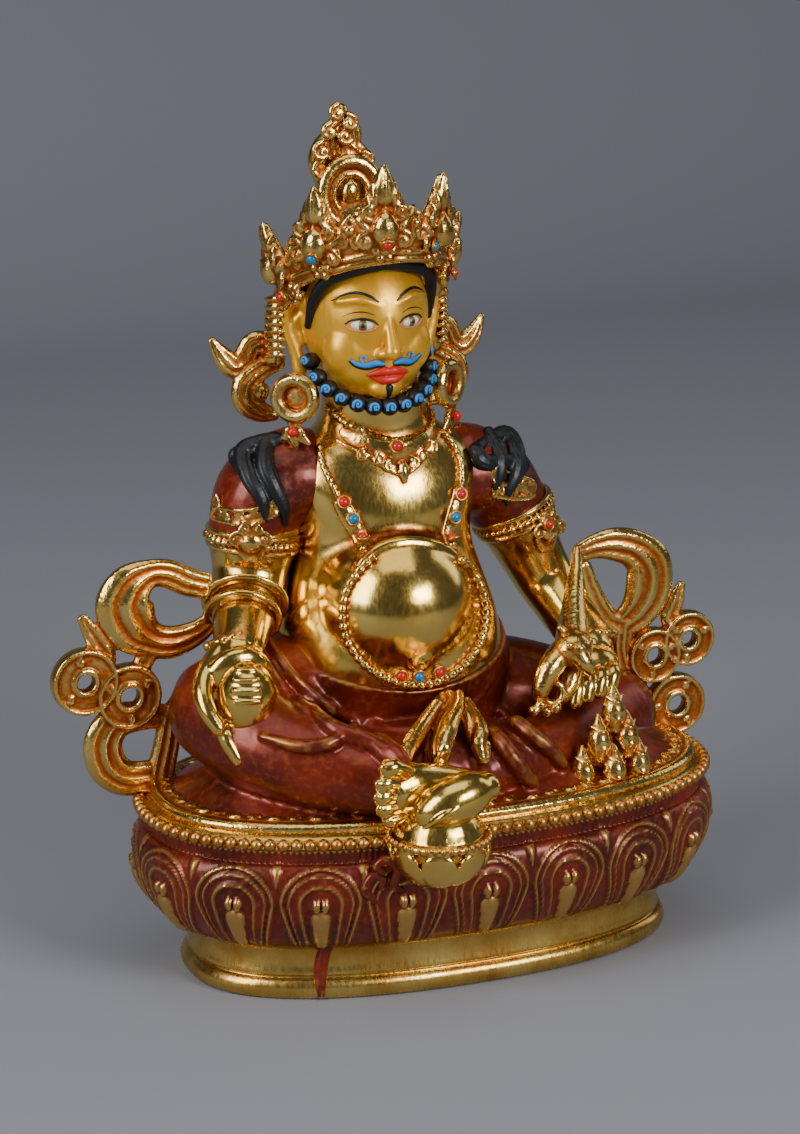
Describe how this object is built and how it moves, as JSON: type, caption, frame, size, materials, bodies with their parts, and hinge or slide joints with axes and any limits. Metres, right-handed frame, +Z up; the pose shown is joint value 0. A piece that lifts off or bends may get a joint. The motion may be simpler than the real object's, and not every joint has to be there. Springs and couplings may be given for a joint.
{
  "type": "deity statue",
  "caption": "Seated bearded wealth deity in gilt metal with crown and curling scarves, holding a citron and a mongoose, on an oval lotus base.",
  "frame": {"origin": "centre of the oval base's underside", "axes": "+Z up; the figure faces -Y; +X is the figure's left"},
  "size_m": [0.1779, 0.1011, 0.212],
  "materials": {
    "figure_gilt": "polished fire gilding with painted face, hair and lacquered clothes",
    "jewellery_gilt": "gilt carving with copper red showing in the recesses",
    "scarf_gilt": "gilt carving, bright on the ridges",
    "base_finish": "red lacquer petals over a satin gilt foot",
    "clothes_lacquer": "glossy red-brown lacquer",
    "hair_paint": "satin black paint with blue curls",
    "face_paint": "matte cold gold with painted features",
    "coral": "polished stone",
    "turquoise": "polished stone"
  },
  "bodies": {
    "root": {"lotus_base": "base_finish", "figure": "figure_gilt", "crown": "jewellery_gilt", "earring_right": "jewellery_gilt", "earring_left": "jewellery_gilt", "scarf_right": "scarf_gilt", "scarf_left": "scarf_gilt", "jewel_pile": "jewellery_gilt", "stone_armlet_left": "coral", "stone_armlet_right": "coral", "stone_belly_left": "coral", "stone_belly_middle": "turquoise", "stone_belly_right": "coral", "stone_chain_left_low": "coral", "stone_chain_left_middle": "turquoise", "stone_chain_left_top": "coral", "stone_chain_right_low": "coral", "stone_chain_right_middle": "turquoise", "stone_chain_right_top": "coral", "stone_collar": "coral", "stone_crown_front": "coral", "stone_crown_left": "turquoise", "stone_crown_right": "turquoise", "stone_crown_temple_left": "coral", "stone_crown_temple_right": "coral"}
  },
  "joints": []
}
